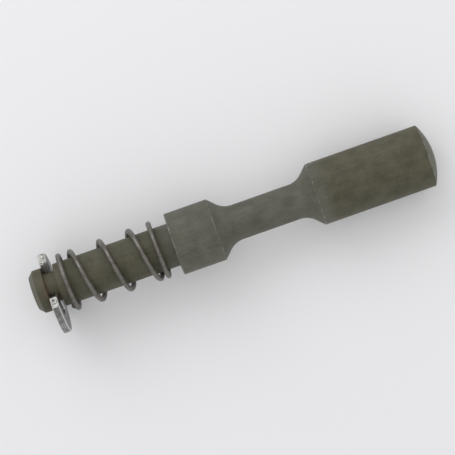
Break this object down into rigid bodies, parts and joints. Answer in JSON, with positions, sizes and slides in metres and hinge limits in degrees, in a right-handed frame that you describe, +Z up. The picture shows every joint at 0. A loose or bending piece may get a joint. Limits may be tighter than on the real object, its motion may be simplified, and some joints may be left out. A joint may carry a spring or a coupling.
{
  "type": "spring plunger",
  "caption": "Turned steel plunger pin with a domed head, swept neck and collar, a loose round-wire compression spring on its shank and a push-on retaining ring in the end groove.",
  "frame": {"origin": "on the pin's axis, in the shank-side face of the collar, which the spring pushes against", "axes": "+X along the pin's axis towards the domed head, +Z up, +Y completes the right-handed frame"},
  "size_m": [0.0314, 0.0062, 0.0062],
  "materials": {
    "pin_steel": "dark olive-grey phosphate, matt",
    "spring_wire": "dark oiled wire, matt",
    "clip_steel": "bright, stamped"
  },
  "bodies": {
    "plunger": {"plunger_pin": "pin_steel", "retaining_clip": "clip_steel"},
    "spring": {"return_spring": "spring_wire"}
  },
  "joints": [
    {"name": "spring_slide", "type": "slide", "parent": "plunger", "child": "spring", "axis": [1, 0, 0], "range_m": [-0.00054, 0.0008]}
  ]
}
